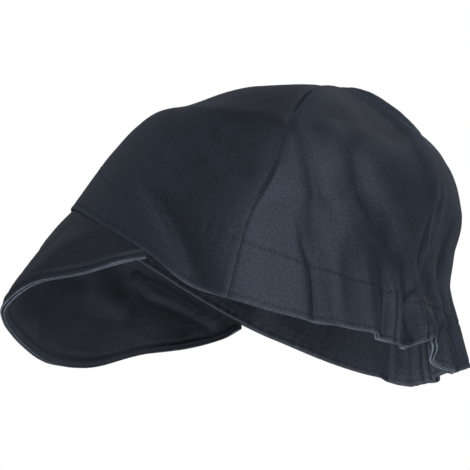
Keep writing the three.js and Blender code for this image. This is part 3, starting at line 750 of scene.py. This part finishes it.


# Copies of one dark twill with painted light and shade in their bases: the front panels and the peak's upper ply
# are painted darker than the rear panels, the strips inside the hem and the peak's lower ply paler.
SHADED_FRONT_TWILL = twill("shaded_front_twill", (0.0130, 0.0170, 0.0240), (0.15, 0.18, 0.23))
REAR_TWILL = twill("rear_twill", (0.0150, 0.0188, 0.0270), (0.15, 0.18, 0.23))
LIT_BAND_TWILL = twill("lit_band_twill", (0.0560, 0.0660, 0.0860), (0.18, 0.21, 0.26), 1.9, 0.25)
SHADED_PEAK_TWILL = twill("shaded_peak_twill", (0.0085, 0.0112, 0.0140), (0.17, 0.20, 0.25))
LIT_UNDER_TWILL = twill("lit_under_twill", (0.0190, 0.0222, 0.0275), (0.17, 0.20, 0.25), 1.5, 0.3)
THREAD = thread_material()


# Crown


RELIEF_STEP = 4  # rows and columns
FULL_RELIEF = 0.5  # millimetres


def relief_of(face):
    """How far each point of a grid lies inside the mean of the points a few rows and columns away: positive in
    hollows and negative on crests, in millimetres."""
    k = RELIEF_STEP
    padded = np.pad(face, ((k, k), (k, k), (0, 0)), "edge")
    beside = (padded[k:-k, 2 * k:] + padded[k:-k, :-2 * k]) / 2 - face
    above = (padded[2 * k:, k:-k] + padded[:-2 * k, k:-k]) / 2 - face
    level = np.zeros_like(face)
    level[:, k:-k] += beside[:, k:-k]
    level[k:-k] += above[k:-k]
    return np.einsum("ijk,ijk->ij", level, grid_normal(face))


def painted_fold_shading(face, smooth):
    """From -1 on the crests to 1 in the hollows that a face has and the smooth face doesn't: the painted shade of
    the folds, paler on crests and darker in hollows.
    """
    return np.clip((relief_of(face) - relief_of(smooth)) / FULL_RELIEF, -1, 1)


def limited(tone):
    return np.clip(tone, -TONE_LIMIT, TONE_LIMIT)


def up_rows(angle):
    """Shares of the height at even lengths up the crown at that angle, with three rows in the place of one where
    the hem's puckers are, up to 24 mm, and a change to the even rows over the next 14 mm."""
    share = np.linspace(0, CROWN_TOP_SHARE, 500)
    step = np.linalg.norm(np.diff(smooth_crown(angle, share), axis=0), axis=-1)
    density = 3 - 2 * smooth_step((np.cumsum(step) - 24) / 14)
    weight = np.concatenate([[0], np.cumsum(step * density)])
    return np.interp(np.linspace(0, 1, CROWN_UP), weight / weight[-1], share / CROWN_TOP_SHARE)


SEAM_WEAR, SEAM_WEAR_REACH = 0.08, 0.7
RIM_WEAR, RIM_WEAR_REACH = 0.16, 0.4
# The rear ridge carries a painted highlight: its cloth is painted paler as far as the ridge stands out.
RIDGE_HIGHLIGHT, RIDGE_HEIGHT = 0.09, 2.6
TONE_FADES_FROM = {"front": 0.42, "rear": 0.12}  # shares of the way up


def crown_panel(node, from_turn, across, material):
    """The folded crown between two seams, and the same face one cloth's thickness further in."""
    turns = np.linspace(from_turn, from_turn + 1, across)
    shares = up_rows(float(turn_angle(from_turn + 0.5, 0)))
    angle, share = crown_grid(turns, shares, rim_share, top_share, GAP / 4)
    outer = folded_crown(angle, share, DRESSED)
    inner = outer - grid_normal(folded_crown(angle, share, PLAIN)) * CLOTH
    radius = read_table(CROWN_SECTIONS, "width", share) * HEAD_HALF_WIDTH
    mm_up = (share - rim_share(angle)) / share_per_mm(angle)
    wear_and_highlight = SEAM_WEAR * bell(seam_distance(angle, share, radius) / SEAM_WEAR_REACH)
    wear_and_highlight = wear_and_highlight + RIM_WEAR * bell(mm_up / RIM_WEAR_REACH)
    # painted highlight along the crest of the rear ridge
    wear_and_highlight = wear_and_highlight + RIDGE_HIGHLIGHT * np.abs(fine_fold("rear_ridge", angle, share, radius)) / RIDGE_HEIGHT
    # painted light and shade round the crown, falling to 40 % of itself higher up, added to the painted shade of
    # the folds
    upper = smooth_step((share - TONE_FADES_FROM["front" if from_turn in (0, 3) else "rear"]) / 0.3)
    tone = read_table(ROUND_PAINTED_SHADING, "tone", wrap(angle)) * (1 - 0.6 * upper)
    # painted shading: darker in the hollows of the folds and paler on their crests, with the painted tone round
    # the crown
    painted_shading = limited(painted_fold_shading(outer, smooth_crown(angle, share)) + tone)
    along = unit(smooth_crown(angle + 1, share) - smooth_crown(angle - 1, share))
    outer, inner = interlocked(outer, inner, along)
    wear_and_highlight, painted_shading = (np.pad(values, ((0, 0), (1, 1)), "edge") for values in (wear_and_highlight, painted_shading))
    cloth_piece(node, outer, inner, material, wear_and_highlight, painted_shading)


def interlocked(outer, inner, along):
    """The two faces with one more column at each end. At the last end it is the edge of a thin tongue, and at the
    first end the bottom of a groove for the neighbour's tongue, so that no light passes through a seam."""
    middle = (outer + inner) / 2
    half = (outer - inner) / 2
    centre = middle + along * SEAM_TONGUE
    thin = half * SEAM_TONGUE_SHARE
    faces = []
    for face, ends in ((outer, centre + thin), (inner, centre - thin)):
        faces.append(np.concatenate([ends[:, :1], face, ends[:, -1:]], 1))
    return faces


def band_inside(angle):
    """How far the turned-up strips lie inside the crown. Over the brow the peak's two plies are between them, and
    past the peak's roots the sweatband comes out to the crown again over 9 degrees."""
    plies = 2 * (CLOTH + GAP)
    return CLOTH + HEM_GAP + plies * smooth_step((PEAK_ROOT_ANGLE + 12 - np.abs(wrap(angle))) / 9)


def hem_strip(node, turns, pleated):
    """A strip turned up inside the crown from the rim to the hem's stitching, with faint puckers where it is sewn,
    and narrow pleats where the elastic draws it in. It is worn at the rim, more so on the wearer's right."""
    shares = np.linspace(0, 1, HEM_UP)
    angle, share = crown_grid(turns, shares, rim_share, hem_share, GAP / 2)
    face = folded_crown(angle, share, FOLDED)
    normal = grid_normal(folded_crown(angle, share, PLAIN))
    mm_round = angle * DEGREE * HEAD_HALF_LENGTH
    middle = np.sin(np.pi * shares)[:, None]
    pleats = 0.55 * np.sin(mm_round * 0.62 + 1.2 * np.sin(mm_round * 0.11)) + 0.2 * np.sin(mm_round * 1.5)
    puckers = 0.12 * np.sin(mm_round * 1.05 + 1.5 * np.sin(mm_round * 0.17)) * (1 - middle)
    mm_up = (share - rim_share(angle)) / share_per_mm(angle)
    puckers = puckers - 0.45 * bell((mm_up - RIM_STITCH_HEIGHT) / 0.8)
    drawn_in = nape(angle) * pleated * (0.4 + pleats) * (0.35 + 0.65 * middle)
    inside = band_inside(angle) + drawn_in + puckers
    outer = face - normal * inside[..., None]
    inner = outer - normal * CLOTH
    right_side = smooth_step((-60 - wrap(angle)) / 30)
    wear_and_highlight = (0.3 + 0.5 * right_side) * bell(mm_up / (0.5 + 0.5 * right_side))
    tone = read_table(BAND_TONE, "tone", wrap(angle))
    # painted shade of the folds, turned over as the strip is seen from its inner side, with the strips' tone round
    # the band
    painted_shading = limited(tone - 0.7 * painted_fold_shading(outer, smooth_crown(angle, share)))
    cloth_piece(node, outer, inner, LIT_BAND_TWILL, wear_and_highlight, painted_shading)


# Peak


def peak_reach(across):
    """From the root to the free edge at that place across."""
    out, forward, down = (
        read_table(PEAK_EDGE, name, np.abs(across)) * PEAK_LENGTH for name in ("out", "forward", "down")
    )
    return np.stack([np.sign(across) * out, -forward, -down], -1)


def peak_length(across):
    return np.linalg.norm(peak_reach(across), axis=-1)


def peak_face(across, out):
    """The peak's outer face: from the rim out along a straight reach that the table gives, bowed outwards halfway,
    and below 0 tucked up inside the crown."""
    across, out = np.broadcast_arrays(np.asarray(across, float), np.asarray(out, float))
    angle = across * PEAK_ROOT_ANGLE
    share = rim_share(angle) + np.maximum(0, -out) * PEAK_TUCK * share_per_mm(angle)
    bow = read_table(PEAK_EDGE, "bow", np.abs(across)) * PEAK_LENGTH
    bowed = np.stack([np.sin(np.radians(angle)), -np.cos(np.radians(angle)), np.full(angle.shape, 0.5)], -1)
    t = np.maximum(0, out)
    root = folded_crown(angle, share, FOLDED) - crown_normal(angle, share, PLAIN) * (CLOTH + GAP)
    return root + peak_reach(across) * t[..., None] + bowed * (4 * t * (1 - t) * bow)[..., None]


def peak_normal(across, out):
    """Square to the peak's outer face: the cross product of its slopes across and towards the root."""
    step = 0.02
    a = np.clip(across, -1 + step, 1 - step)
    side = peak_face(a + step, out) - peak_face(a - step, out)
    up = peak_face(a, out - 3 * step) - peak_face(a, np.minimum(1, out + 3 * step))
    return unit(np.cross(side, up))


PEAK_STITCH_ROWS = (13.0, 18.5, 24.0, 29.5, 35.0, 40.5, 46.0)  # millimetres in from the free edge
PEAK_EDGE_STITCH = 2.4
PEAK_ALLOWANCE = 4.6  # where the turned seam allowance swells the peak

# Soft folds of the peak from one place to another, both across (-1 to 1) and out (0 to 1). Width and depth are
# millimetres; a positive depth goes in, which is a dip above and a swelling below. The last column is a painted
# highlight: how much paler the cloth is painted along the fold.
PEAK_FOLDS = (
    # from across, from out, to across, to out, width, depth, painted highlight
    (-0.60, 0.19, -0.88, 0.38, 3.8, 2.8, 0.06),
    (-0.50, 0.10, -0.80, 0.16, 4.0, -1.4, 0),
    (-0.60, 0.42, -0.78, 0.56, 7.5, -1.4, 0),
    (-0.28, 0.14, -0.50, 0.26, 8.0, -1.8, 0),
    (-0.34, 0.42, -0.52, 0.46, 7.0, 1.4, 0.015),
    (-0.06, 0.62, -0.22, 0.52, 7.0, 0.8, 0.01),
    (0.55, 0.2, 0.62, 0.6, 6.0, 0.7, 0),
    (0.74, 0.1, 0.7, 0.5, 5.0, -0.6, 0),
)


def across_fold(plain, row):
    """1 along the straight line of a fold of the peak, falling to both sides and past its ends as a bell."""
    start = peak_face(row[0], row[1])
    along = peak_face(row[2], row[3]) - start
    t = np.clip((plain - start) @ along / (along @ along), 0, 1)
    return bell(np.linalg.norm(plain - start - t[..., None] * along, axis=-1) / row[4])


def peak_relief(plain, across, out):
    """How far the stitched rows pull both plies in: a narrow groove along each row and slack between them. The
    turned seam allowance inside the edge stands proud."""
    away = (1 - out) * peak_length(across)
    rows = np.sum([bell((away - row) / 0.8) for row in PEAK_STITCH_ROWS], axis=0)
    edge = 0.28 * bell((away - PEAK_EDGE_STITCH) / 0.7) - 0.5 * bell((away - PEAK_ALLOWANCE) / 1.2)
    free = smooth_step(out / 0.15)
    slack = 0.4 * ripple(plain, 42, 12) * smooth_step(away / 10) * smooth_step(out / 0.3)
    folds = np.sum([row[5] * across_fold(plain, row) for row in PEAK_FOLDS], axis=0)
    return (0.08 * rows + edge) * free + slack + folds * smooth_step(away / 5)


def peak_ply(node, depth):
    """Rows from the free edge to the tuck and columns from the right root end to the left, sunk below the outer
    face by the depth and by the relief of the stitched rows. Towards the right root the cloth is paler in thin
    lines beside the stitched rows, and along the streaks of some folds it carries a painted highlight. The lower
    ply is seen from its inner side, where a dip of the outer face is a swelling, so its painted fold shade is
    turned over, and painted shade deepens on it to the right."""
    across = np.linspace(-1, 1, PEAK_ACROSS)[None, :]
    near_edge = 1 - np.linspace(0, 1, PEAK_OUT)[:-1] ** 1.25
    out = np.concatenate([near_edge, [0, -0.4, -1]])[:, None]
    plain = peak_face(across, out)
    normal = peak_normal(across, out)
    outer = plain - normal * (depth + peak_relief(plain, across, out))[..., None]
    inner = outer - normal * CLOTH
    away = (1 - out) * peak_length(across)
    # thin paler lines just beside the stitched rows towards the right root
    near_right_root = smooth_step((-0.72 - across) / 0.12) * smooth_step(away / 4)
    wear_and_highlight = 0.12 * near_right_root * np.sum([bell((away - row - 0.7) / 0.35) for row in PEAK_STITCH_ROWS], axis=0)
    # painted highlight along the streaks of some folds, carried with the worn paleness
    wear_and_highlight = wear_and_highlight + np.sum([row[6] * across_fold(plain, row) for row in PEAK_FOLDS], axis=0)
    # painted shade of the peak's folds, paler on crests and darker in hollows
    painted_shading = painted_fold_shading(outer, plain)
    if depth > 0:
        # painted shade under the peak, deepening towards the right root, with the painted fold shade turned over
        painted_shading = limited(1.3 - 2.0 * smooth_step((across + 0.9) / 0.7) - 1.3 * painted_shading)
    cloth_piece(node, outer, inner, SHADED_PEAK_TWILL if depth == 0 else LIT_UNDER_TWILL, wear_and_highlight, painted_shading)


# Stitching


SHORTEST_PEAK_ROW = 4.0  # millimetres of peak that a row needs behind it


def crown_row(height, above_rim):
    """A row round the whole crown at a height in millimetres above the rim or above the smooth section."""
    angle = np.linspace(0, 360, 1800)
    share = height * share_per_mm(angle) + (rim_share(angle) if above_rim else 0)
    place = folded_crown(angle, share, DRESSED)
    return stitch_row(place, crown_normal(angle, share, DRESSED), CROWN_THREAD)


def peak_row(away, face_depth, sign):
    """A row along the peak at a distance from its free edge, on its upper or its lower face."""
    across = np.linspace(-0.93, 0.93, 700)
    across = across[peak_length(across) > away + SHORTEST_PEAK_ROW]
    out = 1 - away / peak_length(across)
    plain = peak_face(across, out)
    normal = peak_normal(across, out)
    place = plain - normal * (face_depth + peak_relief(plain, across, out))[:, None]
    return stitch_row(place, normal * sign, PEAK_THREAD)


crown_panel("crown_front_left", 0, FRONT_ACROSS, SHADED_FRONT_TWILL)
crown_panel("crown_rear_left", 1, REAR_LEFT_ACROSS, REAR_TWILL)
crown_panel("crown_rear_right", 2, REAR_RIGHT_ACROSS, REAR_TWILL)
crown_panel("crown_front_right", 3, FRONT_ACROSS, SHADED_FRONT_TWILL)
hem_strip("sweatband", np.concatenate([
    np.linspace(CASING_START_RIGHT, 4, SWEATBAND_ACROSS // 2, endpoint=False),
    np.linspace(0, CASING_START_LEFT, SWEATBAND_ACROSS // 2),
]), 0)
hem_strip("elastic_casing", np.linspace(CASING_START_LEFT, CASING_START_RIGHT, CASING_ACROSS), 1)
peak_ply("peak_upper_ply", 0.0)
peak_ply("peak_lower_ply", CLOTH + GAP)

UNDER_FACE = 2 * CLOTH + GAP
stitching("hem_stitching", [crown_row(HEM_HEIGHT, False)])
stitching("rim_stitching", [crown_row(RIM_STITCH_HEIGHT, True)])
stitching("peak_top_stitching", [peak_row(PEAK_EDGE_STITCH, 0, 1)])
stitching("peak_under_stitching", [peak_row(PEAK_EDGE_STITCH, UNDER_FACE, -1)])


# Room, light and camera

FLOOR_Z = -0.75
FLOOR_RADIUS = 6.0
ROOM_LIGHT = 0.2
LIGHTS = (
    # name, metres towards the camera, up and to the camera's right, size in metres, watts
    ("key_soft_box", 1.35, 0.42, 0.08, 0.4, 13),
    ("low_soft_box", 1.2, -0.38, 0.05, 0.45, 6.5),
    ("rear_soft_box", -0.8, 0.9, 0.9, 0.8, 2.0),
)
LIT_PLACE = Vector((0, 0, 0.03))
CAMERA_AZIMUTH = 106.76
CAMERA_ELEVATION = -14.82
CAMERA_DISTANCE = 1.15
FOCAL_OVER_WIDTH = 2390 / 470  # focal length over the picture's width, from the photo's perspective
SENSOR_WIDTH = 36
AIM = (-0.01044, 0.03271)  # metres to the right of and above the origin, seen from the camera


def camera_directions():
    """Unit vectors to the camera's right, up in its picture, and from the cap back to it."""
    a = math.radians(CAMERA_AZIMUTH)
    e = math.radians(CAMERA_ELEVATION)
    back = Vector((math.sin(a) * math.cos(e), -math.cos(a) * math.cos(e), math.sin(e)))
    right = (-back).cross(Vector((0, 0, 1))).normalized()
    return right, right.cross(-back), back


def place_camera():
    """The photo's camera. Gives back its directions."""
    right, up, back = camera_directions()
    data = bpy.data.cameras.new("camera")
    data.sensor_width = SENSOR_WIDTH
    data.lens = SENSOR_WIDTH * FOCAL_OVER_WIDTH
    data.clip_end = 50
    camera = bpy.data.objects.new("camera", data)
    bpy.context.scene.collection.objects.link(camera)
    camera.location = right * AIM[0] + up * AIM[1] + back * CAMERA_DISTANCE
    camera.rotation_euler = back.to_track_quat("Z", "Y").to_euler()
    bpy.context.scene.camera = camera
    return right, up, back


def floor():
    """A round pale floor well below the cap."""
    turn = np.linspace(0, 2 * np.pi, 64, endpoint=False)
    rim = np.stack([np.cos(turn), np.sin(turn)], -1) * FLOOR_RADIUS
    points = np.column_stack([rim, np.full_like(turn, FLOOR_Z)])
    mesh = bpy.data.meshes.new("floor")
    mesh.from_pydata(points.tolist(), [], [list(range(len(points)))])
    ground = bpy.data.objects.new("floor", mesh)
    bpy.context.scene.collection.objects.link(ground)
    paint, tree, shader = plain_material("floor_paint")
    feed(tree, shader, in_Base_Color=(0.82, 0.82, 0.82), in_Roughness=0.9)
    mesh.materials.append(paint)


def area_light(name, place, size, power):
    """A round soft light that shines at the cap."""
    data = bpy.data.lights.new(name, "AREA")
    data.shape = "DISK"
    data.size = size
    data.energy = power
    light = bpy.data.objects.new(name, data)
    bpy.context.scene.collection.objects.link(light)
    light.location = place
    light.rotation_euler = (place - LIT_PLACE).to_track_quat("Z", "Y").to_euler()


def studio():
    """A white world behind that lights the cap only a little, soft lights above and below the camera, and a faint
    one high behind the cap."""
    world = bpy.data.worlds.new("studio")
    world.use_nodes = True
    tree = world.node_tree
    seen = add(tree, "ShaderNodeLightPath").outputs["Is Camera Ray"]
    feed(tree, tree.nodes["Background"], in_Color=(1, 1, 1), in_Strength=spread(tree, seen, 0, 1, ROOM_LIGHT, 1))
    bpy.context.scene.world = world
    right, up, back = place_camera()
    for name, away, above, aside, size, power in LIGHTS:
        area_light(name, back * away + up * above + right * aside, size, power)


floor()
studio()
bpy.context.scene.view_settings.view_transform = "Standard"
